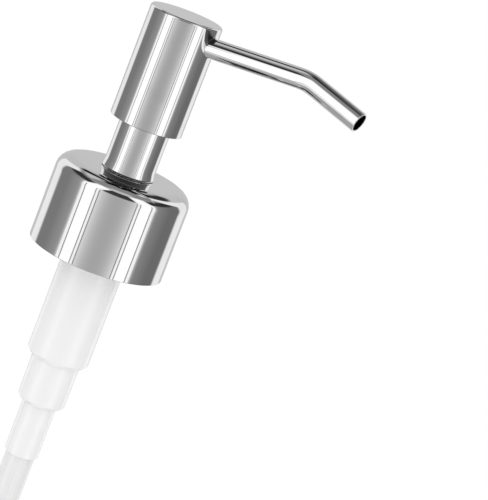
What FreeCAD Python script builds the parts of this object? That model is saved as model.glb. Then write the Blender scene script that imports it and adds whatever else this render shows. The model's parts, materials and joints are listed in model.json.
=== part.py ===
import FreeCAD, Part
import math
import os

from FreeCAD import Placement, Rotation, Vector

# A screw-neck dispensing pump with a polished head, a bent spout and a dip tube.
# Millimetres. The origin is on the pump axis in the plane of the bottle's rim, which is the
# gasket's underside. +Z points up to the head and +X points along the spout.

# fits, as gaps between pieces
running_gap = 0.05       # radial, a piece that turns or slides in another
loose_gap = 0.15         # radial, a hole that only lets a piece through
axial_play = 0.05        # between faces that turn on each other
stop_gap = 0.1           # between the plunger and its upper stop
valve_gap = 0.03         # between a resting ball and its seat

# bottle neck thread, 28-400: 6 threads to the inch
thread_crest_r = 12.9
thread_depth = 1.05
thread_pitch = 25.4 / 6
thread_turns = 1.75
thread_drop = 3.9        # from the rim plane down to the first ridge's middle
ridge_root_width = 1.9
ridge_crest_width = 0.9

# threaded liner inside the collar
liner_web = 1.5
liner_wall = 1.65
liner_length = 16.3      # from the rim plane down
liner_rib_count = 24
liner_rib_width = 1.2
liner_rib_depth = 1.9
liner_spacer_width = 1.2
liner_spacer_inset = 2.0

# sheet metal
shell_wall = 0.5
collar_height = 23.65
collar_shoulder = 4.07
collar_edge = 0.18
foot_reach = 0.45
foot_height = 2.1        # of the flare
foot_edge = 0.4
flare_blend = 5.0        # rounding where the flare runs into the tube
neck_lip = 0.95
neck_edge = 0.6
head_gap = 2.28          # between the neck sleeve and the head's inner wall
head_edge = 0.7
head_overlap = 6.0       # neck sleeve inside the head at rest
head_landing = 1.3       # head above the collar when pressed right down
core_landing = 1.0       # actuator core above the neck when pressed right down

# gasket and housing
gasket_thickness = 1.5
gasket_cover = 0.3       # gasket radius past the thread's crest
boss_step = 0.5          # the boss that centres the gasket, past the barrel
flange_thickness = 1.5
flange_cover = 0.1
barrel_bore_r = 7.1
barrel_wall = 1.2
barrel_length = 46.4
barrel_chamfer = 1.1
cage_bore_r = 5.3
cage_wall = 1.2
cage_length = 12.5
cage_draft = 0.12
cage_chamfer = 0.8
cage_rib_width = 1.0
cage_rib_gap = 0.3
socket_wall = 0.64
socket_length = 15.0
socket_chamfer = 0.3
inlet_hole_r = 2.4
inlet_throat = 1.6
vent_hole_r = 0.6
vent_drop = 1.8          # below the neck guide's plug

# dip tube
tube_outer_r = 3.92
tube_wall = 1.0
tube_insert = 13.4
tube_reach = 116.1       # below the socket
tube_cut_angle = 30.0

# neck guide
guide_flange = 1.3
guide_flange_reach = 3.2
guide_top_gap = 0.2
guide_wall = 1.0
guide_plug = 5.9         # below the rim plane
guide_lip = 1.5
guide_relief = 0.85
wiper_thickness = 1.6
wiper_floor = 1.1        # above the guide's flange

# plunger
stroke = 12.0
stem_r = 3.6
stem_bore_r = 2.4
stem_drop = 4.4          # stem's top below the core's main block
piston_height = 8.0
piston_web = 1.6
piston_hub = 1.0
piston_lip = 0.75
piston_lip_edge = 0.45
retainer_flange = 1.2
retainer_boss = 3.0
retainer_spigot = 4.0
retainer_bore_r = 1.4

# return spring and the seat under it
spring_wire_r = 0.5
spring_wall_gap = 1.75   # from the coil's outside to the barrel
spring_turns = 8
spring_fit = 0.15
seat_plate = 1.5
seat_boss = 2.5
seat_bore_r = 2.6
seat_leg_wall = 1.7
seat_slot_width = 2.0
seat_slot_height = 3.0

# valve balls
inlet_ball_r = 3.5
inlet_ball_lift = 2.0
outlet_ball_r = 2.0
outlet_ball_lift = 1.2

# actuator core
core_height = 10.46
core_boss_wall = 1.35
core_boss_gap = 0.35
core_boss_landing = 1.4
core_pocket_depth = 0.9
core_pocket_inner_r = 3.5
core_pocket_wall = 1.2
outlet_seat_height = 1.7
outlet_seat_bore_r = 1.3
outlet_seat_cone = 1.0
outlet_chamber_gap = 0.5
outlet_passage_r = 1.4

# spout
spout_outer_r = 2.67
spout_wall = 0.4
spout_drop = 6.1         # spout's line below the head's top, on the pump axis
spout_rise = 6.1         # degrees above level
spout_bend = 19.4        # degrees downwards
spout_bend_r = 15.0
spout_run = 37.75        # from the pump axis to the bend's corner
spout_tip = 17.36        # from the bend's corner to the open end
spout_inner_end = 2.5    # from the pump axis
ring_section_r = 0.5
ring_place = 6.0         # along the spout from the pump axis
ring_side_gap = 0.1

# radii worked out from the inside outwards
thread_root_r = thread_crest_r + thread_depth
liner_outer_r = thread_root_r + liner_wall
collar_inner_r = liner_outer_r + liner_rib_depth
collar_outer_r = collar_inner_r + shell_wall
boss_outer_r = stem_r + running_gap + core_boss_wall
guide_inner_r = boss_outer_r + core_boss_gap
guide_outer_r = guide_inner_r + guide_wall
neck_outer_r = guide_outer_r + shell_wall
head_inner_r = neck_outer_r + head_gap
head_outer_r = head_inner_r + shell_wall
barrel_outer_r = barrel_bore_r + barrel_wall
gasket_inner_r = barrel_outer_r + boss_step
gasket_outer_r = thread_crest_r + gasket_cover
flange_r = thread_crest_r + flange_cover
cage_outer_r = cage_bore_r + cage_wall
socket_outer_r = tube_outer_r + socket_wall
spring_outer_r = barrel_bore_r - spring_wall_gap
spring_mean_r = spring_outer_r - spring_wire_r
spring_inner_r = spring_mean_r - spring_wire_r
wiper_bore_r = stem_r + running_gap
stem_hole_r = stem_r + loose_gap

# heights worked out from the rim plane upwards
gasket_top = gasket_thickness
flange_top = gasket_top + flange_thickness
web_bottom = flange_top + axial_play
web_top = web_bottom + liner_web
rim_top = web_top + axial_play
guide_flange_top = rim_top + guide_flange
collar_ceiling = guide_flange_top + guide_top_gap
collar_top = collar_ceiling + shell_wall
collar_bottom = collar_top - collar_height
wiper_bottom = guide_flange_top + wiper_floor
wiper_top = wiper_bottom + wiper_thickness
head_bottom = collar_top + stroke + head_landing
neck_top = head_bottom + head_overlap
core_bottom = neck_top + stroke + core_landing
head_top = core_bottom + core_height + shell_wall
core_top = head_top - shell_wall
stem_top = core_bottom - stem_drop
core_boss_bottom = wiper_top + stroke + core_boss_landing
spout_height = head_top - spout_drop

# and downwards
piston_top = -guide_plug - stop_gap
piston_bottom = piston_top - piston_height
spring_top = piston_bottom - retainer_flange
barrel_floor = -barrel_length + barrel_wall
seat_top = barrel_floor + seat_plate
cage_bottom = -barrel_length - cage_length
inlet_cone_bottom = cage_bottom + loose_gap
tube_top = cage_bottom - inlet_throat
socket_bottom = cage_bottom - socket_length
tube_bottom = socket_bottom - tube_reach

# a ball on a 45 degree seat: its centre is the root of two radii above the seat's apex
inlet_ball_z = inlet_cone_bottom - inlet_hole_r + (inlet_ball_r + valve_gap) * math.sqrt(2)
inlet_stop = inlet_ball_z + inlet_ball_lift + math.sqrt(inlet_ball_r**2 - seat_bore_r**2) + axial_play
outlet_seat_bottom = stem_top + axial_play
outlet_seat_top = outlet_seat_bottom + outlet_seat_height
outlet_apex = outlet_seat_top - outlet_seat_cone - outlet_seat_bore_r
outlet_ball_z = outlet_apex + (outlet_ball_r + valve_gap) * math.sqrt(2)
outlet_stop = (outlet_ball_z + outlet_ball_lift
               + math.sqrt(outlet_ball_r**2 - outlet_passage_r**2) + axial_play)
chamber_r = outlet_ball_r + outlet_chamber_gap

up = Vector(0, 0, 1)
rise = math.radians(spout_rise)
spout_start = Vector(0, 0, spout_height)
spout_way = Vector(math.cos(rise), 0, math.sin(rise))


def outline(corners):
    """A closed wire in the XZ plane through (r, z) corners. A third value rounds that corner."""
    edges, ends = [], []
    for i, corner in enumerate(corners):
        here = Vector(corner[0], 0, corner[1])
        before = corners[i - 1]
        after = corners[(i + 1) % len(corners)]
        if len(corner) < 3:
            ends.append((here, here, None))
            continue
        back = (Vector(before[0], 0, before[1]) - here).normalize()
        ahead = (Vector(after[0], 0, after[1]) - here).normalize()
        half = back.getAngle(ahead) / 2
        reach = corner[2] / math.tan(half)
        middle = (back + ahead).normalize()
        on_arc = here + middle * (corner[2] / math.sin(half) - corner[2])
        ends.append((here + back * reach, here + ahead * reach, on_arc))
    for i, (first, last, on_arc) in enumerate(ends):
        if on_arc is not None:
            edges.append(Part.Arc(first, on_arc, last).toShape())
        following = ends[(i + 1) % len(ends)][0]
        if last.distanceToPoint(following) > 1e-6:
            edges.append(Part.LineSegment(last, following).toShape())
    return Part.Wire(edges)


def turned(corners):
    """A solid of revolution about the pump axis."""
    return Part.Face(outline(corners)).revolve(Vector(0, 0, 0), up, 360)


def rod(r, low, high):
    return Part.makeCylinder(r, high - low, Vector(0, 0, low), up)


def rod_along(r, start, way, first, last):
    return Part.makeCylinder(r, last - first, start + way * first, way)


def around(shape, count):
    """Copies of a shape, evenly spaced about the pump axis."""
    copies = []
    for i in range(count):
        copy = shape.copy()
        copy.rotate(Vector(0, 0, 0), up, 360 * i / count)
        copies.append(copy)
    return copies


def block(x_low, x_high, width, low, high):
    return Part.makeBox(x_high - x_low, width, high - low, Vector(x_low, -width / 2, low))


def helical(section, radius, pitch, height, low):
    """A closed section swept along a right-hand helix that starts at angle 0."""
    helix = Part.makeHelix(pitch, height, radius)
    helix.translate(Vector(0, 0, low))
    return Part.Wire(helix).makePipeShell([section], True, True)


def gasket():
    return rod(gasket_outer_r, 0, gasket_top).cut(rod(gasket_inner_r, -1, gasket_top + 1))


def housing():
    """Three stepped bores: the pump barrel, the ball cage and the dip tube's socket."""
    cage_foot_r = cage_outer_r - cage_draft
    body = turned([
        (barrel_bore_r, rim_top), (barrel_outer_r, rim_top), (barrel_outer_r, flange_top),
        (flange_r, flange_top), (flange_r, gasket_top), (gasket_inner_r, gasket_top),
        (gasket_inner_r, 0), (barrel_outer_r, 0),
        (barrel_outer_r, -barrel_length + barrel_chamfer, 0.5),
        (barrel_outer_r - barrel_chamfer, -barrel_length, 0.4),
        (cage_outer_r, -barrel_length),
        (cage_foot_r, cage_bottom + cage_chamfer, 0.4),
        (cage_foot_r - cage_chamfer, cage_bottom, 0.3),
        (socket_outer_r, cage_bottom),
        (socket_outer_r, socket_bottom + socket_chamfer),
        (socket_outer_r - socket_chamfer, socket_bottom),
        (tube_outer_r, socket_bottom), (tube_outer_r, tube_top), (inlet_hole_r, tube_top),
        (inlet_hole_r, inlet_cone_bottom),
        (cage_bore_r, inlet_cone_bottom + cage_bore_r - inlet_hole_r),
        (cage_bore_r, barrel_floor), (barrel_bore_r, barrel_floor),
    ])
    rib_inner_r = inlet_ball_r + cage_rib_gap
    rib = block(rib_inner_r, cage_bore_r + cage_wall / 2, cage_rib_width,
                inlet_cone_bottom + rib_inner_r - inlet_hole_r, inlet_stop - cage_rib_gap)
    body = body.fuse(around(rib, 4)).removeSplitter()
    vent = Part.makeCylinder(vent_hole_r, barrel_outer_r * 2,
                             Vector(0, 0, -guide_plug - vent_drop), Vector(0, 1, 0))
    return body.cut(vent)


def neck_guide():
    """The plug that closes the housing and carries the stem, with the tube inside the neck sleeve."""
    relief_r = stem_hole_r + guide_relief
    return turned([
        (stem_hole_r, -guide_plug), (barrel_bore_r, -guide_plug), (barrel_bore_r, rim_top),
        (barrel_outer_r + guide_flange_reach, rim_top),
        (barrel_outer_r + guide_flange_reach, guide_flange_top, 0.3),
        (guide_outer_r, guide_flange_top), (guide_outer_r, neck_top - shell_wall),
        (guide_inner_r, neck_top - shell_wall), (guide_inner_r, wiper_bottom),
        (stem_hole_r, wiper_bottom), (stem_hole_r, wiper_bottom - wiper_floor),
        (relief_r, wiper_bottom - wiper_floor), (relief_r, -guide_plug + guide_lip),
        (stem_hole_r, -guide_plug + guide_lip),
    ])


def stem_wiper():
    return turned([
        (wiper_bore_r, wiper_bottom), (guide_inner_r, wiper_bottom), (guide_inner_r, wiper_top),
        (wiper_bore_r + wiper_thickness / 2, wiper_top, 0.3),
        (wiper_bore_r + 0.3, wiper_bottom + wiper_thickness / 2, 0.3),
        (wiper_bore_r, wiper_bottom + wiper_thickness / 3),
    ])


def neck_sleeve():
    """The polished tube on the collar, with a flared foot and a turned-in top."""
    foot = collar_top + axial_play
    return turned([
        (guide_outer_r, foot), (neck_outer_r + foot_reach, foot, foot_edge),
        (neck_outer_r, foot + foot_height, flare_blend), (neck_outer_r, neck_top, neck_edge),
        (neck_outer_r - shell_wall - neck_lip, neck_top, 0.2),
        (neck_outer_r - shell_wall - neck_lip, neck_top - shell_wall),
        (guide_outer_r, neck_top - shell_wall),
    ])


def threaded_liner():
    """The screw cap inside the collar: web, threaded skirt and the ribs that hold the shell."""
    skirt = turned([
        (barrel_outer_r + running_gap, web_bottom), (thread_root_r, web_bottom, 0.5),
        (thread_root_r, -liner_length, 0.4), (liner_outer_r, -liner_length),
        (liner_outer_r, web_top, 0.5),
        (liner_outer_r - liner_spacer_inset, web_top),
        (liner_outer_r - liner_spacer_inset, collar_ceiling),
        (liner_outer_r - liner_spacer_inset - liner_spacer_width, collar_ceiling),
        (liner_outer_r - liner_spacer_inset - liner_spacer_width, web_top),
        (barrel_outer_r + running_gap, web_top),
    ])
    rib = block(liner_outer_r - liner_wall / 2, collar_outer_r, liner_rib_width,
                -liner_length, collar_top - collar_shoulder - shell_wall)
    ribs = [r.common(rod(collar_inner_r, collar_bottom, collar_top))
            for r in around(rib, liner_rib_count)]
    root = liner_wall / 4
    middle = -thread_drop - thread_turns * thread_pitch
    corners = [(thread_root_r + root, middle - ridge_root_width / 2),
               (thread_crest_r, middle - ridge_crest_width / 2),
               (thread_crest_r, middle + ridge_crest_width / 2),
               (thread_root_r + root, middle + ridge_root_width / 2)]
    section = Part.makePolygon([Vector(x, 0, z) for x, z in corners + corners[:1]])
    ridge = helical(section, thread_root_r, thread_pitch, thread_turns * thread_pitch, middle)
    return skirt.fuse(ribs + [ridge])


def collar_shell():
    """A drawn cup with a rounded shoulder, open below, with a hole for the neck."""
    hole_r = neck_outer_r + loose_gap
    return turned([
        (hole_r, collar_top), (hole_r, collar_ceiling),
        (collar_inner_r, collar_ceiling, collar_shoulder - shell_wall),
        (collar_inner_r, collar_bottom, collar_edge), (collar_outer_r, collar_bottom, collar_edge),
        (collar_outer_r, collar_top, collar_shoulder),
    ])


def stem():
    return rod(stem_r, piston_bottom, stem_top).cut(rod(stem_bore_r, piston_bottom - 1, stem_top + 1))


def piston():
    """A two-lipped seal on the stem."""
    lip_r = barrel_bore_r - running_gap
    hub_r = stem_r + piston_hub
    middle = (piston_top + piston_bottom) / 2
    web = piston_web / 2
    return turned([
        (stem_r, piston_top), (hub_r, piston_top), (hub_r, middle + web, 0.3),
        (lip_r - piston_lip, middle + web, 0.3), (lip_r - piston_lip_edge, piston_top),
        (lip_r, piston_top), (lip_r, piston_bottom), (lip_r - piston_lip_edge, piston_bottom),
        (lip_r - piston_lip, middle - web, 0.3), (hub_r, middle - web, 0.3),
        (hub_r, piston_bottom), (stem_r, piston_bottom),
    ])


def piston_retainer():
    """The plug in the stem's foot that keeps the piston on and centres the spring."""
    boss_r = spring_inner_r - spring_fit
    return turned([
        (retainer_bore_r, piston_bottom + retainer_spigot),
        (stem_bore_r, piston_bottom + retainer_spigot, 0.3), (stem_bore_r, piston_bottom),
        (spring_outer_r + spring_fit, piston_bottom), (spring_outer_r + spring_fit, spring_top),
        (boss_r, spring_top), (boss_r, spring_top - retainer_boss, 0.6),
        (retainer_bore_r, spring_top - retainer_boss),
    ])


def main_spring():
    """A compression spring with ground ends, between the retainer's flange and the spring seat."""
    length = spring_top - seat_top
    section = Part.Wire(Part.makeCircle(spring_wire_r, Vector(spring_mean_r, 0, seat_top),
                                        Vector(0, 1, 0)))
    coil = helical(section, spring_mean_r, length / spring_turns, length, seat_top)
    return coil.common(rod(barrel_bore_r, seat_top, spring_top))


def spring_seat():
    """The plate under the spring, whose legs stop the inlet ball."""
    boss_r = spring_inner_r - spring_fit
    leg_r = seat_bore_r + seat_leg_wall
    body = turned([
        (seat_bore_r, seat_top + seat_boss), (boss_r, seat_top + seat_boss, 0.5),
        (boss_r, seat_top), (barrel_bore_r, seat_top), (barrel_bore_r, barrel_floor),
        (leg_r, barrel_floor), (leg_r, inlet_stop), (seat_bore_r, inlet_stop),
    ])
    slot = block(0, leg_r * 2, seat_slot_width, inlet_stop - 1, inlet_stop + seat_slot_height)
    return body.cut(around(slot, 4))


def inlet_ball():
    return Part.makeSphere(inlet_ball_r, Vector(0, 0, inlet_ball_z))


def dip_tube():
    """A straight tube with a slanted foot."""
    lean = math.radians(tube_cut_angle)
    slope = 2 * tube_outer_r * math.tan(lean)
    foot = Part.makePolygon([
        Vector(-tube_outer_r, 0, tube_bottom), Vector(tube_outer_r, 0, tube_bottom),
        Vector(tube_outer_r, 0, tube_bottom + slope), Vector(-tube_outer_r, 0, tube_bottom),
    ])
    wedge = Part.Face(foot).extrude(Vector(0, 2 * tube_outer_r, 0))
    wedge.translate(Vector(0, -tube_outer_r, 0))
    tube = rod(tube_outer_r, tube_bottom, tube_top).cut(
        rod(tube_outer_r - tube_wall, tube_bottom - 1, tube_top + 1))
    return tube.cut(wedge)


def head_shell():
    """A drawn cup over the neck, with a hole for the spout."""
    cup = turned([
        (0, head_top), (0, core_top), (head_inner_r, core_top, head_edge - 0.3),
        (head_inner_r, head_bottom, 0.15), (head_outer_r, head_bottom, 0.25),
        (head_outer_r, head_top, head_edge),
    ])
    return cup.cut(rod_along(spout_outer_r, spout_start, spout_way, 0, head_outer_r * 2))


def actuator_core():
    """The moulding inside the head that joins the stem, the outlet valve and the spout."""
    socket_r = stem_r + running_gap
    body = turned([
        (0, core_top), (core_pocket_inner_r, core_top),
        (core_pocket_inner_r, core_top - core_pocket_depth),
        (head_inner_r - core_pocket_wall, core_top - core_pocket_depth),
        (head_inner_r - core_pocket_wall, core_top),
        (head_inner_r, core_top, head_edge - 0.3), (head_inner_r, core_bottom),
        (boss_outer_r, core_bottom, 0.3), (boss_outer_r, core_boss_bottom, 0.3),
        (socket_r, core_boss_bottom), (socket_r, outlet_seat_top), (chamber_r, outlet_seat_top),
        (chamber_r, outlet_stop), (outlet_passage_r, outlet_stop),
        (outlet_passage_r, spout_height), (0, spout_height),
    ])
    ring_bore_r = spout_outer_r + 2 * ring_section_r
    ring_half = ring_section_r + ring_side_gap
    return body.cut([
        rod_along(spout_outer_r - spout_wall, spout_start, spout_way,
                  -outlet_passage_r, spout_inner_end),
        rod_along(spout_outer_r, spout_start, spout_way, spout_inner_end, head_outer_r * 2),
        rod_along(ring_bore_r, spout_start, spout_way, ring_place - ring_half,
                  ring_place + ring_half),
    ])


def spout_ring():
    """The rubber ring that seals the spout in the core."""
    ring = Part.makeTorus(spout_outer_r + ring_section_r, ring_section_r)
    ring.Placement = Placement(spout_start + spout_way * ring_place, Rotation(up, spout_way))
    return ring


def outlet_seat():
    """The ring that the outlet ball closes on."""
    outer_r = stem_r + running_gap
    return turned([
        (outlet_seat_bore_r, outlet_seat_bottom), (outer_r, outlet_seat_bottom),
        (outer_r, outlet_seat_top), (outlet_seat_bore_r + outlet_seat_cone, outlet_seat_top),
        (outlet_seat_bore_r, outlet_seat_top - outlet_seat_cone),
    ])


def outlet_ball():
    return Part.makeSphere(outlet_ball_r, Vector(0, 0, outlet_ball_z))


def spout_tube():
    """A thin tube with one bend, cut square at its open end."""
    bend = math.radians(spout_bend)
    tangent = spout_bend_r * math.tan(bend / 2)
    tip_way = Vector(math.cos(rise - bend), 0, math.sin(rise - bend))
    corner = spout_start + spout_way * spout_run
    first = spout_start + spout_way * spout_inner_end
    arc_start = corner - spout_way * tangent
    arc_end = corner + tip_way * tangent
    inwards = (tip_way - spout_way).normalize()
    to_centre = spout_bend_r / math.cos(bend / 2)
    on_arc = corner + inwards * (to_centre - spout_bend_r)
    path = Part.Wire([
        Part.LineSegment(first, arc_start).toShape(),
        Part.Arc(arc_start, on_arc, arc_end).toShape(),
        Part.LineSegment(arc_end, corner + tip_way * spout_tip).toShape(),
    ])

    def swept(r):
        section = Part.Wire(Part.makeCircle(r, first, spout_way))
        return path.makePipeShell([section], True, True)

    return swept(spout_outer_r).cut(swept(spout_outer_r - spout_wall))


sub_parts = {
    "gasket": gasket, "housing": housing, "neck_guide": neck_guide, "stem_wiper": stem_wiper,
    "neck_sleeve": neck_sleeve, "threaded_liner": threaded_liner, "collar_shell": collar_shell,
    "stem": stem, "piston": piston, "piston_retainer": piston_retainer,
    "main_spring": main_spring, "spring_seat": spring_seat, "inlet_ball": inlet_ball,
    "dip_tube": dip_tube, "head_shell": head_shell, "actuator_core": actuator_core,
    "spout_ring": spout_ring, "outlet_seat": outlet_seat, "outlet_ball": outlet_ball,
    "spout_tube": spout_tube,
}

os.makedirs("parts", exist_ok=True)
for name, make in sub_parts.items():
    shape = make()
    solids = shape.Solids
    if len(solids) != 1 or not solids[0].isValid():
        print("check", name, "solids", len(solids), "valid", shape.isValid())
    solids[0].exportStep("parts/" + name + ".step")
    print(f"{name}: {solids[0].Volume:.1f} mm3")
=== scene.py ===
import json
import math
import bmesh
import bpy
import numpy as np
from mathutils import Matrix, Vector


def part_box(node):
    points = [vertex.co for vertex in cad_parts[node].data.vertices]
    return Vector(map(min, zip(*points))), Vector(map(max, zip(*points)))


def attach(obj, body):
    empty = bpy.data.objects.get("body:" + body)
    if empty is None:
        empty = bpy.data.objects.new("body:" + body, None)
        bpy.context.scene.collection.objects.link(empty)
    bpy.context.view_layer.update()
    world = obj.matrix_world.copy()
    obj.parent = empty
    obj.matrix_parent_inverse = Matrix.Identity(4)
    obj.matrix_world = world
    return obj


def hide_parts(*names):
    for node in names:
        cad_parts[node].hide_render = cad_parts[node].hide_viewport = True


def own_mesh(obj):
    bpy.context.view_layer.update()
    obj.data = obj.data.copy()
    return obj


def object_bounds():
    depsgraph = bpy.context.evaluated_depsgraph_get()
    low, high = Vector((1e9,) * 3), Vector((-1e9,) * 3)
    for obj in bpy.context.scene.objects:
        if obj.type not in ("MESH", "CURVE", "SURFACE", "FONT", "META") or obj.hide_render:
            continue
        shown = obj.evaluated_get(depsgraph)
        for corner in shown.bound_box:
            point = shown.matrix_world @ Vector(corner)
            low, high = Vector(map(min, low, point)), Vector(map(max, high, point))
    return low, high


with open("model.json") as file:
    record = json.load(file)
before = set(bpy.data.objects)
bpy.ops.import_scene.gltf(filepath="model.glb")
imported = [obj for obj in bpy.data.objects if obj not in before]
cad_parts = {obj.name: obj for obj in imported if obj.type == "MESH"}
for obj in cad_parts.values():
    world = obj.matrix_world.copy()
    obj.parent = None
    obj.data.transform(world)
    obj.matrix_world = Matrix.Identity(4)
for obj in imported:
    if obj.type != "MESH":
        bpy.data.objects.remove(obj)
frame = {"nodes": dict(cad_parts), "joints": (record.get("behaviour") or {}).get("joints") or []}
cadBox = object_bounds()
print("frame loaded:", len(frame["nodes"]), "parts")

mm = 0.001    # shapes are drawn in millimetres and stored in metres


def unit(v):
    return v / np.linalg.norm(v, axis=-1, keepdims=True)


def span(node):
    # radius, lowest and highest point of a round part, in millimetres
    low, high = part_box(node)
    return high.y / mm, low.z / mm, high.z / mm


def outline(corners, closed=True, steps=7):
    # A section through corners (radius, height, rounding, divisions of the run that follows),
    # anticlockwise. A rounding is an arc about the point rounding / sin(half angle) along the
    # corner's bisector. Gives the points and the section's outward normal at each.
    flat = np.array([corner[:2] for corner in corners], float)
    before, after = np.roll(flat, 1, axis=0), np.roll(flat, -1, axis=0)
    ends = [] if closed else [0, len(corners) - 1]
    arcs = []
    for i, corner in enumerate(corners):
        here = flat[i]
        if i in ends:
            way = after[i] - here if i == 0 else here - before[i]
            arcs.append((here[None], unit(np.array([[way[1], -way[0]]]))))
            continue
        back, ahead = unit(before[i] - here), unit(after[i] - here)
        half = math.acos(np.clip(back @ ahead, -1, 1)) / 2
        centre = here + unit(back + ahead) * corner[2] / math.sin(half)
        start = unit(here + back * corner[2] / math.tan(half) - centre)
        stop = unit(here + ahead * corner[2] / math.tan(half) - centre)
        turn = math.acos(np.clip(start @ stop, -1, 1))
        t = np.linspace(0, 1, steps)[:, None]
        fan = (np.sin((1 - t) * turn) * start + np.sin(t * turn) * stop) / math.sin(turn)
        convex = back[0] * ahead[1] < back[1] * ahead[0]
        arcs.append((centre + fan * corner[2], fan if convex else -fan))
    points, normals = [], []
    for i, (arc, arcNormals) in enumerate(arcs):
        points.append(arc)
        normals.append(arcNormals)
        if closed or i < len(arcs) - 1:
            start, stop = arc[-1], arcs[(i + 1) % len(arcs)][0][0]
            divisions = corners[i][3] if len(corners[i]) > 3 else 1
            way = unit(stop - start)
            points.append(np.linspace(start, stop, divisions + 1)[1:-1])
            normals.append(np.tile([way[1], -way[0]], (divisions - 1, 1)))
    return np.vstack(points), np.vstack(normals)


def meshFrom(name, points, faces, normals, bridge=False):
    # A mesh object at the origin, smooth, with its own normal at every point.
    used, packed = np.unique(np.concatenate([f.ravel() for f in faces]), return_inverse=True)
    starts = np.cumsum([0] + [f.size for f in faces])
    packedFaces = []
    for f, start in zip(faces, starts):
        packedFaces += packed[start:start + f.size].reshape(f.shape).tolist()
    mesh = bpy.data.meshes.new(name)
    mesh.from_pydata(points[used].tolist(), [], packedFaces)
    if bridge:
        work = bmesh.new()
        work.from_mesh(mesh)
        bmesh.ops.bridge_loops(work, edges=[e for e in work.edges if e.is_boundary])
        work.to_mesh(mesh)
        work.free()
    mesh.shade_smooth()
    mesh.normals_split_custom_set_from_vertices(unit(normals[used]).tolist())
    made = bpy.data.objects.new(name, mesh)
    bpy.context.scene.collection.objects.link(made)
    return made


def turned(name, corners, closed=True, around=192, shape=None, hole=None):
    # A section turned about the pump's axis: x = r cos a, y = r sin a, z = height. The two ends of
    # an open section are poles. hole(points) gives which points are inside a hole and where each
    # would lie on its edge, and shape(points, normals) moves the finished grid.
    section, sectionNormals = outline(corners, closed)
    angle = np.linspace(0, 2 * math.pi, around, endpoint=False)

    def revolved(pairs):
        return np.stack([np.outer(pairs[:, 0], np.cos(angle)), np.outer(pairs[:, 0], np.sin(angle)),
                         np.repeat(pairs[:, 1:], around, 1)], -1).reshape(-1, 3)

    points, normals = revolved(section), revolved(sectionNormals)
    ids = np.arange(len(points)).reshape(-1, around)
    if closed:
        ids = np.vstack([ids, ids[:1]])
    else:
        ids[0], ids[-1] = ids[0, 0], ids[-1, 0]
    ids = np.hstack([ids, ids[:, :1]])
    quads = np.stack([ids[:-1, :-1], ids[:-1, 1:], ids[1:, 1:], ids[1:, :-1]], -1).reshape(-1, 4)
    if hole:
        inside, edge = hole(points)
        quads = quads[~inside[quads].all(1)]
        points = np.where(inside[:, None], edge, points)
    firstPole, lastPole = quads[:, 0] == quads[:, 1], quads[:, 2] == quads[:, 3]
    faces = [quads[~firstPole & ~lastPole], quads[firstPole][:, [0, 2, 3]], quads[lastPole][:, :3]]
    if shape:
        points, normals = shape(points, normals)
    return meshFrom(name, points * mm, faces, normals, bridge=hole is not None)


def smoothCopy(name, node, sharpAngle=35):
    # The part's own triangles with their doubles merged, smooth except over its sharp edges.
    mesh = frame["nodes"][node].data.copy()
    mesh.name = name
    work = bmesh.new()
    work.from_mesh(mesh)
    bmesh.ops.remove_doubles(work, verts=work.verts, dist=0.001 * mm)
    work.to_mesh(mesh)
    work.free()
    mesh.shade_smooth()
    mesh.set_sharp_from_angle(angle=math.radians(sharpAngle))
    mesh.materials.clear()
    made = bpy.data.objects.new(name, mesh)
    bpy.context.scene.collection.objects.link(made)
    weighted = made.modifiers.new("weightedNormals", "WEIGHTED_NORMAL")
    weighted.keep_sharp = True
    return made


def finishPiece(made, node, body, material):
    made.data.materials.append(material)
    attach(made, body)
    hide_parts(node)
    return made


class Wire:
    # An output socket of a node. Sums, differences and products of wires and numbers add Math nodes.
    def __init__(self, tree, socket=None):
        self.tree, self.socket = tree, socket

    def node(self, kind, settings=None, values=None, output=0):
        # any node: its settings first, then a number, colour or wire for each input socket
        made = self.tree.nodes.new(kind)
        for key, value in (settings or {}).items():
            setattr(made, key, value)
        for key, value in (values or {}).items():
            if isinstance(value, Wire):
                self.tree.links.new(value.socket, made.inputs[key])
            else:
                made.inputs[key].default_value = value
        return Wire(self.tree, made.outputs[output])

    def math(self, operation, *values):
        return self.node("ShaderNodeMath", {"operation": operation}, dict(enumerate(values)))

    def __add__(self, other):
        return self.math("ADD", self, other)

    def __radd__(self, other):
        return self.math("ADD", other, self)

    def __sub__(self, other):
        return self.math("SUBTRACT", self, other)

    def __rsub__(self, other):
        return self.math("SUBTRACT", other, self)

    def __mul__(self, other):
        return self.math("MULTIPLY", self, other)

    def __rmul__(self, other):
        return self.math("MULTIPLY", other, self)

    def __pow__(self, other):
        return self.math("POWER", self, other)

    def rise(self, low, high):
        # 0 below low, 1 above high, an S curve between
        return self.node("ShaderNodeMapRange", {"interpolation_type": "SMOOTHSTEP"},
                         {"Value": self, "From Min": low, "From Max": high})

    def ramp(self, low, high, first, last):
        # first below low, last above high, a straight line between
        return self.node("ShaderNodeMapRange", {}, {"Value": self, "From Min": low, "From Max": high,
                                                    "To Min": first, "To Max": last})

    def between(self, low, high, soft):
        # 1 between low and high, 0 outside, both edges soft
        half = soft / 2
        return self.rise(low - half, low + half) * (1 - self.rise(high - half, high + half))

    def towards(self, other, mask):
        # this value where mask is 0 and the other one where it is 1
        return self + (other - self) * mask

    def colours(self, first, second):
        # the first colour where this value is 0, the second where it is 1
        return self.node("ShaderNodeMix", {"data_type": "RGBA"}, {0: self, 6: first, 7: second}, 2)


def newMaterial(name, constants):
    # a Principled material with its constant sockets set, and a wire to start its nodes from
    material = bpy.data.materials.new(name)
    material.use_nodes = True
    shader = material.node_tree.nodes["Principled BSDF"]
    for key, value in constants.items():
        shader.inputs[key].default_value = value
    return material, shader, Wire(material.node_tree)


def feed(shader, wires):
    for key, wire in wires.items():
        wire.tree.links.new(wire.socket, shader.inputs[key])


def grey(level):
    return (level, level, level, 1)


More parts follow.
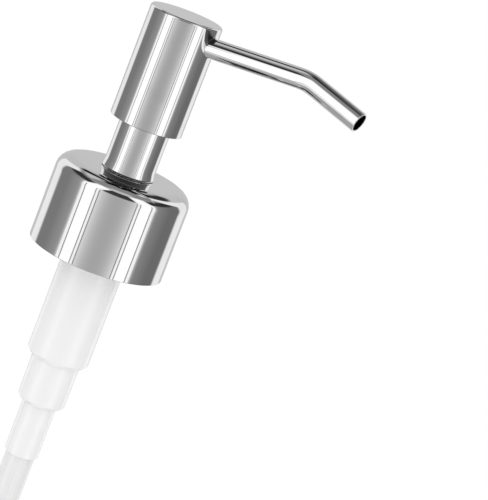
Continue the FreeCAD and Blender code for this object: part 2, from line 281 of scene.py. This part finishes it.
def objectPoint(start, scale=(1, 1, 1)):
    # the place on the piece, in millimetres, stretched by scale
    place = start.node("ShaderNodeTexCoord", output="Object")
    return start.node("ShaderNodeMapping", {}, {"Vector": place, "Scale": tuple(s / mm for s in scale)})


def noise(start, place, size, detail=2.0, roughness=0.5):
    # noise between 0 and 1, its features about size millimetres across
    return start.node("ShaderNodeTexNoise", {"noise_dimensions": "3D"},
                      {"Vector": place, "Scale": 1 / size, "Detail": detail, "Roughness": roughness})


def bump(start, height, depth):
    # depth is in millimetres for a height of 1
    return start.node("ShaderNodeBump", {}, {"Height": height, "Strength": 1.0, "Distance": depth * mm})


steelLook = {
    "bright": 0.82,           # colour of the clean mirror
    "dull": 0.77,             # where it is slightly hazed
    "mirrorRoughness": 0.03,
    "hazeRoughness": 0.035,   # added where the polish is tired or has been handled
    "hazeSize": 9.0,          # millimetres
    "wipeSize": 1.6,          # handling marks, long along the axis
    "lineSpacing": 0.12,      # the buffing lines that run round the piece
    "lineRoughness": 0.012,
    "lineDepth": 0.1,         # as a share of the waviness
    "peelSize": 2.4,          # slow waviness of drawn sheet
    "peelDepth": 0.0004,
}


def polishedSteel():
    # Mirror steel. How tired the polish is, the larger of a patchy haze and half the wipe marks, sets
    # the colour and, with the buffing lines, the roughness. The waviness and the lines are its bump.
    look = steelLook
    material, shader, start = newMaterial("polishedSteel", {"Metallic": 1.0, "Specular IOR Level": 0.5})
    place = objectPoint(start)
    lines = noise(start, objectPoint(start, (0.06, 0.06, 1)), look["lineSpacing"], 3)
    haze = noise(start, place, look["hazeSize"], 4, 0.6).rise(0.5, 0.75)
    wiped = noise(start, objectPoint(start, (1, 1, 0.15)), look["wipeSize"], 5, 0.65).rise(0.56, 0.8)
    tired = start.math("MAXIMUM", haze, wiped * 0.5)
    sheet = noise(start, place, look["peelSize"], 1)
    roughness = tired * look["hazeRoughness"] + lines * look["lineRoughness"] + look["mirrorRoughness"]
    feed(shader, {
        "Base Color": tired.colours(grey(look["bright"]), grey(look["dull"])),
        "Roughness": roughness,
        "Normal": bump(start, sheet + lines * look["lineDepth"], look["peelDepth"]),
    })
    return material


whiteLook = {
    "colour": (0.875, 0.875, 0.875, 1),
    "cloudy": (0.85, 0.85, 0.85, 1),   # slow variation of the wall and its filler
    "flowSize": 14.0,
    "roughness": 0.13,
    "roughnessSpread": 0.07,
    "specular": 0.85,
    "grainSize": 0.35,
    "grainDepth": 0.0003,
    "drawSize": 0.5,                     # faint draw marks along the axis
    "drawShare": 0.4,                    # of the relief
}


def whitePlastic():
    # Moulded polypropylene: cloudy colour, satin sheen that varies, fine grain and draw marks.
    look = whiteLook
    material, shader, start = newMaterial("whitePlastic", {
        "IOR": 1.49, "Specular IOR Level": look["specular"]})
    flow = noise(start, objectPoint(start, (1, 1, 0.35)), look["flowSize"], 3).rise(0.35, 0.7)
    draw = noise(start, objectPoint(start, (1, 1, 0.04)), look["drawSize"], 2)
    grain = noise(start, objectPoint(start), look["grainSize"], 3)
    feed(shader, {
        "Base Color": flow.colours(look["colour"], look["cloudy"]),
        "Roughness": grain * look["roughnessSpread"] + look["roughness"],
        "Normal": bump(start, grain + (draw - grain) * look["drawShare"], look["grainDepth"]),
    })
    return material


milkyLook = {
    "colour": (0.88, 0.88, 0.88, 1),
    "streak": (0.82, 0.82, 0.82, 1),
    "streakSize": 0.9,
    "roughness": 0.16,
    "roughnessSpread": 0.10,
    "transmission": 0.08,
    "dieLineDepth": 0.004,
}


def milkyPlastic():
    # Natural polyethylene: partly clear, with the long streaks that an extruder's die leaves.
    look = milkyLook
    material, shader, start = newMaterial("milkyPlastic", {
        "IOR": 1.51, "Transmission Weight": look["transmission"]})
    streaks = noise(start, objectPoint(start, (1, 1, 0.02)), look["streakSize"], 3, 0.6)
    feed(shader, {
        "Base Color": streaks.rise(0.35, 0.7).colours(look["colour"], look["streak"]),
        "Roughness": streaks * look["roughnessSpread"] + look["roughness"],
        "Normal": bump(start, streaks, look["dieLineDepth"]),
    })
    return material


rubberLook = {
    "colour": 0.018,
    "bloomColour": 0.05,
    "bloomSize": 0.6,
    "bloomDepth": 0.02,
    "roughness": 0.45,
    "roughnessSpread": 0.25,
}


def sealRubber():
    # Black rubber with a fine bloom.
    look = rubberLook
    material, shader, start = newMaterial("sealRubber", {"IOR": 1.52})
    bloom = noise(start, objectPoint(start), look["bloomSize"], 5, 0.65)
    feed(shader, {
        "Base Color": bloom.rise(0.4, 0.8).colours(grey(look["colour"]), grey(look["bloomColour"])),
        "Roughness": bloom * look["roughnessSpread"] + look["roughness"],
        "Normal": bump(start, bloom, look["bloomDepth"]),
    })
    return material


foamLook = {
    "colour": (0.83, 0.83, 0.81, 1),
    # darker colour inside the cells: painted shade of the dimples
    "paintedPoreShade": (0.62, 0.62, 0.61, 1),
    "poresPerMillimetre": 3.2,
    "poreDepth": 0.05,
    "roughness": 0.95,
    "roughnessSpread": 0.15,
}


def gasketFoam():
    # Closed-cell foam: small cells as dimples under a soft skin, with a painted shade darkening each
    # dimple.
    look = foamLook
    material, shader, start = newMaterial("gasketFoam", {"IOR": 1.4})
    cells = start.node("ShaderNodeTexVoronoi", {"feature": "F1"},
                       {"Vector": objectPoint(start), "Scale": look["poresPerMillimetre"]})
    skin = cells.rise(0.05, 0.5)
    feed(shader, {
        # the cells' dimples take the darker colour: painted shade in the pores
        "Base Color": skin.colours(look["paintedPoreShade"], look["colour"]),
        "Roughness": look["roughness"] - skin * look["roughnessSpread"],
        "Normal": bump(start, skin, look["poreDepth"]),
    })
    return material


wireLook = {
    "colour": (0.66, 0.66, 0.67, 1),
    "stained": (0.55, 0.545, 0.54, 1),
    "stainSize": 3.0,
    "stainRoughness": 0.08,
    "markSize": 0.12,
    "markRoughness": 0.16,
    "markDepth": 0.003,
    "roughness": 0.12,
}


def drawnSteel():
    # Spring wire and ground balls: satin steel with fine die marks.
    look = wireLook
    material, shader, start = newMaterial("drawnSteel", {"Metallic": 1.0})
    marks = noise(start, objectPoint(start, (1, 1, 3)), look["markSize"], 4, 0.6)
    stain = noise(start, objectPoint(start), look["stainSize"], 3).rise(0.45, 0.75)
    feed(shader, {
        "Base Color": stain.colours(look["colour"], look["stained"]),
        "Roughness": marks * look["markRoughness"] + stain * look["stainRoughness"] + look["roughness"],
        "Normal": bump(start, marks, look["markDepth"]),
    })
    return material


steel = polishedSteel()
white = whitePlastic()
milky = milkyPlastic()
rubber = sealRubber()
foam = gasketFoam()
wireSteel = drawnSteel()
print("materials made")


collarLook = {
    "wall": 0.5,
    "shoulder": 4.07,     # outside rounding between the wall and the top
    "rim": 0.18,
    "holeEdge": 0.12,
    "neckGap": 0.15,
}


def collarShell():
    # A drawn cup, open below, turned from its section.
    look = collarLook
    outer, bottom, top = span("collar_shell")
    inner, ceiling = outer - look["wall"], top - look["wall"]
    hole = neckRadius() + look["neckGap"]
    corners = [
        (hole, top, look["holeEdge"]), (hole, ceiling, look["holeEdge"]),
        (inner, ceiling, look["shoulder"] - look["wall"]), (inner, bottom, look["rim"]),
        (outer, bottom, look["rim"]), (outer, top, look["shoulder"]),
    ]
    return turned("collarShell", corners, around=256)


neckLook = {
    "wall": 0.5,
    "flare": 0.45,       # how far the foot reaches past the tube
    "flareHeight": 2.1,
    "flareRounding": 5.0,
    "footEdge": 0.4,
    "topEdge": 0.6,
    "lip": 0.95,         # turned in over the guide's end
}


def neckRadius():
    return span("neck_sleeve")[0] - neckLook["flare"]


def neckSleeve():
    # A tube with a flared foot and a top that is turned in.
    look = neckLook
    foot, top = span("neck_sleeve")[1:]
    outer = neckRadius()
    inner = outer - look["wall"]
    lip = inner - look["lip"]
    corners = [
        (inner, foot, 0.05), (outer + look["flare"], foot, look["footEdge"]),
        (outer, foot + look["flareHeight"], look["flareRounding"]), (outer, top, look["topEdge"]),
        (lip, top, 0.15), (lip, top - look["wall"], 0.1), (inner, top - look["wall"], 0.1),
    ]
    return turned("neckSleeve", corners, around=192)


headLook = {
    "wall": 0.5,
    "topEdge": 0.7,
    "ceilingEdge": 0.4,
    "rimInside": 0.15,
    "rimOutside": 0.25,
    "spoutGap": 0.10,      # dark ring round the spout
    "holeDivisions": 120,  # rows of the wall, so that the hole's edge is fine
}
spoutLook = {
    "wall": 0.4,
    "drop": 6.1,           # below the head's top, on the axis
    "rise": math.radians(6.1),
    "bend": math.radians(19.4),
    "bendRadius": 15.0,
    "run": 37.75,          # from the axis to the corner where the two straights meet
    "tip": 17.36,
    "innerEnd": 2.5,
    "endEdge": 0.1,
}


def headShell():
    # A drawn cup, open below, with a hole in its wall for the spout. A point of the wall that is
    # nearer to the spout's line than the hole's radius moves straight away from the line to the
    # hole's edge, and its x and y are then scaled so that it is back on the wall.
    look = headLook
    outer, bottom, top = span("head_shell")
    inner, ceiling = outer - look["wall"], top - look["wall"]
    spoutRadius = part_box("spout_tube")[1].y / mm
    way = np.array([math.cos(spoutLook["rise"]), 0, math.sin(spoutLook["rise"])])
    start = np.array([0, 0, top - spoutLook["drop"]])
    radius = spoutRadius + look["spoutGap"]

    def hole(points):
        along = (points - start) @ way
        off = points - start - along[:, None] * way
        distance = np.linalg.norm(off, axis=1)
        inside = (distance < radius) & (along > 0)
        edge = points + off * (radius / np.maximum(distance, 1e-6) - 1)[:, None]
        before, after = np.hypot(points[:, 0], points[:, 1]), np.hypot(edge[:, 0], edge[:, 1])
        edge[:, :2] *= (before / np.maximum(after, 1e-6))[:, None]
        return inside, edge

    rows = look["holeDivisions"]
    corners = [
        (0, ceiling), (inner, ceiling, look["ceilingEdge"], rows), (inner, bottom, look["rimInside"]),
        (outer, bottom, look["rimOutside"], rows), (outer, top, look["topEdge"]), (0, top),
    ]
    return turned("headShell", corners, closed=False, around=256, hole=hole)


def alongSpout(points, normals):
    # Carries a tube drawn up the z axis along the spout: up the first straight, round the bend and
    # down the tip. x and z are the sums of both straights' lengths times the cosine and sine of their
    # headings, and of the bend's radius times the change in the heading's sine and cosine.
    look = spoutLook
    tangent = look["bendRadius"] * math.tan(look["bend"] / 2)
    start = np.array([0, 0, span("head_shell")[2] - look["drop"]])
    first = look["run"] - tangent
    s = points[:, 2]
    turn = np.clip((s - first) / look["bendRadius"], 0, look["bend"])
    heading = look["rise"] - turn
    beyond = np.maximum(s - first - look["bendRadius"] * look["bend"], 0)
    before = np.minimum(s, first)
    x = (before * math.cos(look["rise"]) + beyond * np.cos(heading)
         + look["bendRadius"] * (math.sin(look["rise"]) - np.sin(heading)))
    z = (before * math.sin(look["rise"]) + beyond * np.sin(heading)
         + look["bendRadius"] * (np.cos(heading) - math.cos(look["rise"])))
    centre = np.stack([x, 0 * x, z], -1) + start
    way = np.stack([np.cos(heading), 0 * x, np.sin(heading)], -1)
    down = np.stack([np.sin(heading), 0 * x, -np.cos(heading)], -1)
    side = np.array([0, 1, 0])

    def carried(v, alongWay):
        return v[:, :1] * down + v[:, 1:2] * side + alongWay * way

    return centre + carried(points, 0), carried(normals, normals[:, 2:])


def spoutTube():
    # A thin tube, cut square at both ends, carried along the spout's line.
    look = spoutLook
    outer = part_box("spout_tube")[1].y / mm
    inner = outer - look["wall"]
    tangent = look["bendRadius"] * math.tan(look["bend"] / 2)
    end = look["run"] - 2 * tangent + look["bendRadius"] * look["bend"] + look["tip"]
    edge = look["endEdge"]
    corners = [(inner, look["innerEnd"], edge), (outer, look["innerEnd"], edge, 150),
               (outer, end, edge), (inner, end, edge, 150)]
    return turned("spoutTube", corners, around=96, shape=alongSpout)


finishPiece(collarShell(), "collar_shell", "closure", steel)
finishPiece(neckSleeve(), "neck_sleeve", "pump_body", steel)
finishPiece(headShell(), "head_shell", "head", steel)
finishPiece(spoutTube(), "spout_tube", "head", steel)
print("steel pieces made")


copies = {
    "housing": ("pump_body", "white_plastic", white),
    "gasket": ("pump_body", "gasket_foam", foam),
    "neck_guide": ("pump_body", "white_plastic", white),
    "stem_wiper": ("pump_body", "seal_rubber", rubber),
    "spring_seat": ("pump_body", "white_plastic", white),
    "dip_tube": ("pump_body", "natural_plastic", milky),
    "threaded_liner": ("closure", "white_plastic", white),
    "stem": ("plunger", "white_plastic", white),
    "piston": ("plunger", "natural_plastic", milky),
    "piston_retainer": ("plunger", "white_plastic", white),
    "actuator_core": ("head", "white_plastic", white),
    "spout_ring": ("head", "seal_rubber", rubber),
    "outlet_seat": ("head", "natural_plastic", milky),
    "inlet_ball": ("inlet_valve", "spring_steel", wireSteel),
    "outlet_ball": ("outlet_valve", "spring_steel", wireSteel),
}
for node, (body, slotName, material) in copies.items():
    words = node.split("_")
    name = words[0] + "".join(word.capitalize() for word in words[1:])
    if name == node:
        name += "Moulding"
    finishPiece(smoothCopy(name, node), node, body, material)
print("moulded pieces made")


springLook = {
    "wire": 0.5,           # radius
    "turns": 8.0,
    "closedTurns": 0.9,    # at each end, where the coils lie against each other
    "closedPitch": 2.02,   # in wire radii
    "openingTurns": 0.7,   # over which the pitch widens
    "around": 12,
    "stepsPerTurn": 48,
}


def springLine(low, high, mean):
    # A helix: angle = t, height = the running sum of a pitch that is one wire thick in the closed
    # turns at both ends and wide between them.
    look = springLook
    t = np.linspace(0, look["turns"], int(look["turns"] * look["stepsPerTurn"]) + 1)
    fromEnd = np.minimum(t, look["turns"] - t)
    opened = np.clip((fromEnd - look["closedTurns"]) / look["openingTurns"] + 0.5, 0, 1)
    weight = opened * opened * (3 - 2 * opened)
    gaps = (weight[1:] + weight[:-1]) / 2
    closedPitch = look["closedPitch"] * look["wire"]
    spare = (high - low - 2 * look["wire"] - closedPitch * look["turns"]) / (gaps.sum() * t[1])
    height = low + look["wire"] + np.concatenate([[0], np.cumsum((closedPitch + spare * gaps) * t[1])])
    a = 2 * math.pi * t
    return np.stack([mean * np.cos(a), mean * np.sin(a), height], -1)


def mainSpring():
    # A round wire along the spring's line, closed with a fan at each end. Its section is a circle
    # on the radial direction and the one square to both that and the line.
    look = springLook
    outer, low, high = span("main_spring")
    centre = springLine(low, high, outer - look["wire"])
    tangent = unit(np.gradient(centre, axis=0))
    third = unit(np.cross(tangent, centre * [1, 1, 0]))
    radial = np.cross(third, tangent)
    phi = np.linspace(0, 2 * math.pi, look["around"], endpoint=False)
    ring = np.cos(phi)[None, :, None] * radial[:, None] + np.sin(phi)[None, :, None] * third[:, None]
    points = centre[:, None] + look["wire"] * ring
    points = np.vstack([points.reshape(-1, 3), centre[:1], centre[-1:]])
    normals = np.vstack([ring.reshape(-1, 3), -tangent[:1], tangent[-1:]])
    count = len(centre) * look["around"]
    ids = np.arange(count).reshape(-1, look["around"])
    ids = np.hstack([ids, ids[:, :1]])
    quads = np.stack([ids[:-1, :-1], ids[:-1, 1:], ids[1:, 1:], ids[1:, :-1]], -1).reshape(-1, 4)
    firstCap = np.stack([np.full(look["around"], count), ids[0, 1:], ids[0, :-1]], -1)
    lastCap = np.stack([np.full(look["around"], count + 1), ids[-1, :-1], ids[-1, 1:]], -1)
    return meshFrom("mainSpring", points * mm, [quads, firstCap, lastCap], normals)


spring = finishPiece(mainSpring(), "main_spring", "pump_body", wireSteel)
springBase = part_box("main_spring")[0].z
springTravel = next(j["range_m"][1] for j in frame["joints"] if j["name"] == "plunger_slide")
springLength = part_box("main_spring")[1].z - springBase
1 - springTravel / springLength
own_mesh(spring)
print("spring made")


studio = {
    "azimuth": 27.5,        # the way that the front panel faces, clockwise from -Y
    "middle": 1.0,          # degrees that the panels stand to the right of it
    "fill": 1.07,           # even light on matt surfaces
    "reflectance": 0.80,    # of the steel, so that the panels show at their named brightness
    "displayPower": 2.2,    # from named brightness to light
    "frontPanel": 0.625, "frontPanelEdge": 0.82, "frontHalfWidth": 31.5, "frontCurve": 2.2,
    "sideNear": 0.52, "sideFar": 0.43, "sideFrom": 72.0, "sideTo": 98.0,
    "sideStart": 62.0, "sideWhole": 73.0,        # where the side panels fade in
    "sideDifference": 0.025,                     # the left one is lighter by this, the right one darker
    "middleSoft": 8.0,                           # degrees over which left turns into right
    "leanFrom": 19.0,                            # the strips lean above this height
    "deepShade": 0.33, "deepHighShade": 0.15,    # what a mirror seen in a mirror meets in front,
    "deepHalfWidth": 110.0, "deepSoft": 16.0,    # how far round
    "deepLow": 2.0, "deepWhole": 9.0,            # the heights that it fades in over
    "deepFrom": 27.0, "deepTo": 39.0,            # and those that it darkens over
}
# Painted in this order: the back wall, the dark gap above the front, the ceiling, the strips and
# their frames, the back strips, the ceiling's corners, the zenith and the floor. "around" is how
# far round from the front a panel starts and stops, "height" its lowest and highest degrees, each
# with its softness. "lean" brings it round by so many degrees per degree of height. "side" keeps
# it to the left (-1) or the right (1).
panels = [
    {"shade": 0.72, "around": (121.0, 400.0, 6.0)},
    {"shade": 0.19, "around": (-9.0, 112.0, 14.0), "height": (27.0, 45.0, 8.0)},
    {"shade": 0.22, "around": (-9.0, 29.0, 8.0), "height": (19.0, 42.0, 7.0)},
    {"shade": 0.50, "around": (-9.0, 119.0, 12.0), "height": (47.0, 99.0, 8.0)},
    {"shade": 0.72, "around": (-9.0, 27.0, 26.0), "height": (46.0, 60.0, 8.0)},
    {"shade": 0.94, "around": (33.0, 66.0, 3.0), "height": (-99.0, 46.0, 9.0), "lean": 0.62},
    {"shade": 1.00, "around": (40.5, 58.0, 2.0), "height": (-99.0, 46.0, 9.0), "lean": 0.62},
    {"shade": 0.50, "around": (32.0, 33.8, 0.9), "height": (-99.0, 17.0, 4.0)},
    {"shade": 0.50, "around": (38.1, 39.7, 0.9), "height": (-99.0, 17.0, 4.0)},
    {"shade": 0.50, "around": (58.4, 60.2, 0.9), "height": (-99.0, 17.0, 4.0)},
    {"shade": 0.89, "around": (124.0, 149.0, 5.0), "height": (-99.0, 46.0, 8.0), "lean": 0.75, "side": -1},
    {"shade": 0.89, "around": (124.0, 149.0, 5.0), "height": (-99.0, 74.0, 8.0), "lean": 0.98, "side": 1},
    {"shade": 0.72, "around": (82.0, 122.0, 14.0), "height": (52.0, 70.0, 8.0), "side": -1},
    {"shade": 0.06, "around": (128.0, 151.0, 12.0), "height": (48.0, 99.0, 9.0), "side": -1},
    {"shade": 0.20, "around": (151.0, 187.0, 10.0), "height": (42.0, 99.0, 9.0), "lean": 0.98, "side": 1},
    {"shade": 0.05, "around": (70.0, 165.0, 22.0), "height": (75.0, 99.0, 6.0)},
    {"shade": 0.05, "around": (108.0, 400.0, 10.0), "height": (64.0, 99.0, 6.0), "side": 1},
    {"shade": 0.34, "around": (158.0, 400.0, 12.0), "height": (51.0, 78.0, 8.0)},
    {"shade": 0.06, "around": (-9.0, 400.0, 1.0), "height": (84.0, 99.0, 5.0)},
    {"shade": 0.66, "around": (-9.0, 110.0, 16.0), "height": (-99.0, -49.0, 8.0)},
    {"shade": 0.30, "around": (110.0, 400.0, 16.0), "height": (-99.0, -54.0, 8.0)},
]


def makeStudio():
    # An even white light for matt surfaces, white for the camera, and for mirrors a studio of upright
    # panels with a dark gap and a grey ceiling above them. A direction's place in it is its angle
    # round from the front, atan2(x, -y), and its height, asin(z). Every panel is mixed in by its
    # mask. A mirror seen in a mirror meets a darker front.
    world = bpy.data.worlds.new("studio")
    bpy.context.scene.world = world
    world.use_nodes = True
    tree = world.node_tree
    tree.nodes.clear()
    start = Wire(tree)
    way = start.node("ShaderNodeTexCoord", output="Generated")
    way = start.node("ShaderNodeVectorRotate", {"rotation_type": "Z_AXIS"},
                     {"Vector": way, "Angle": math.radians(-studio["azimuth"])})
    x, y, z = (start.node("ShaderNodeSeparateXYZ", {}, {0: way}, axis) for axis in "XYZ")
    signed = start.math("ARCTAN2", x, -1 * y) * math.degrees(1) - studio["middle"]
    aside = start.math("ABSOLUTE", signed)
    height = start.math("ARCSINE", z) * math.degrees(1)
    over = start.math("MAXIMUM", height - studio["leanFrom"], 0.0)
    right = signed.rise(-studio["middleSoft"], studio["middleSoft"])

    edge = start.math("MINIMUM", aside * (1 / studio["frontHalfWidth"]), 1.0)
    front = (edge ** studio["frontCurve"]) * (studio["frontPanelEdge"] - studio["frontPanel"])
    side = aside.ramp(studio["sideFrom"], studio["sideTo"], studio["sideNear"], studio["sideFar"])
    side = side + (1 - 2 * right) * studio["sideDifference"]
    sides = aside.rise(studio["sideStart"], studio["sideWhole"])
    shade = (front + studio["frontPanel"]).towards(side, sides)
    for panel in panels:
        low, high, soft = panel["around"]
        mask = (aside + over * panel.get("lean", 0.0)).between(low, high, soft)
        if "height" in panel:
            mask = mask * height.between(*panel["height"])
        if "side" in panel:
            mask = mask * (right if panel["side"] > 0 else 1 - right)
        shade = shade.towards(panel["shade"], mask)

    path = {name: start.node("ShaderNodeLightPath", output=name)
            for name in ("Is Camera Ray", "Is Glossy Ray", "Is Transmission Ray", "Glossy Depth")}
    second = path["Glossy Depth"].rise(1.2, 1.8)
    inFront = aside.between(-9.0, studio["deepHalfWidth"], studio["deepSoft"])
    deep = second * inFront * height.rise(studio["deepLow"], studio["deepWhole"])
    deepShade = height.ramp(studio["deepFrom"], studio["deepTo"],
                            studio["deepShade"], studio["deepHighShade"])
    mirror = shade.towards(deepShade, deep) ** studio["displayPower"]
    mirror = mirror * (1.0 / studio["reflectance"])
    seenInMirror = path["Is Glossy Ray"] * (1 - path["Is Transmission Ray"])
    light = seenInMirror * (mirror - studio["fill"]) + studio["fill"]
    light = light.towards(1.0, path["Is Camera Ray"])
    background = start.node("ShaderNodeBackground", {}, {"Color": light, "Strength": 1.0})
    output = tree.nodes.new("ShaderNodeOutputWorld")
    tree.links.new(background.socket, output.inputs["Surface"])


floorLook = {
    "grey": 0.955,
    "halfWidth": 6.0,      # metres
    "clearance": 0.0002,   # under the tube's foot
}


def makeFloor():
    # a plain pale sheet that mirrors don't see
    size, level = floorLook["halfWidth"], cadBox[0].z - floorLook["clearance"]
    mesh = bpy.data.meshes.new("floor")
    corners = [(-size, -size, level), (size, -size, level), (size, size, level), (-size, size, level)]
    mesh.from_pydata(corners, [], [(0, 1, 2, 3)])
    floor = bpy.data.objects.new("floor", mesh)
    bpy.context.scene.collection.objects.link(floor)
    constants = {"Base Color": grey(floorLook["grey"]), "Roughness": 1.0, "Specular IOR Level": 0.0}
    mesh.materials.append(newMaterial("paleFloor", constants)[0])
    floor.visible_glossy = False


view = {
    "distance": 590.5,    # of the camera from the pump's axis
    "height": 129.4,      # over the plane of the bottle's rim
    "azimuth": 27.5,      # degrees, clockwise from -Y
    "aside": 3.392,       # degrees that the camera looks to the right of the axis
    "down": 12.48,
    "tilt": 21.59,        # about the camera's own line of sight
    "lens": 169.7, "sensor": 36.0,
    "nearest": 0.01, "farthest": 50.0,
}


def makeCamera():
    # The camera stands at its azimuth and looks down past the pump. Its right and up directions are
    # turned by the tilt: right cos t + up sin t, and up cos t - right sin t.
    azimuth, heading = math.radians(view["azimuth"]), math.radians(view["azimuth"] - view["aside"])
    down, tilt = math.radians(view["down"]), math.radians(view["tilt"])
    out = Vector((math.sin(azimuth), -math.cos(azimuth), 0))
    place = out * view["distance"] + Vector((0, 0, view["height"]))
    level = Vector((-math.sin(heading), math.cos(heading), 0))
    ahead = level * math.cos(down) - Vector((0, 0, math.sin(down)))
    right = ahead.cross(Vector((0, 0, 1))).normalized()
    top = right.cross(ahead)
    right, top = (right * math.cos(tilt) + top * math.sin(tilt),
                  top * math.cos(tilt) - right * math.sin(tilt))
    camera = bpy.data.objects.new("camera", bpy.data.cameras.new("camera"))
    bpy.context.scene.collection.objects.link(camera)
    turn = Matrix((right, top, -ahead)).transposed()
    camera.matrix_world = Matrix.LocRotScale(place * mm, turn.to_quaternion(), None)
    camera.data.sensor_fit = "AUTO"
    camera.data.lens, camera.data.sensor_width = view["lens"], view["sensor"]
    camera.data.clip_start, camera.data.clip_end = view["nearest"], view["farthest"]
    bpy.context.scene.camera = camera


makeStudio()
makeFloor()
makeCamera()
bpy.context.scene.view_settings.view_transform = "Standard"
print("studio, floor and camera made")
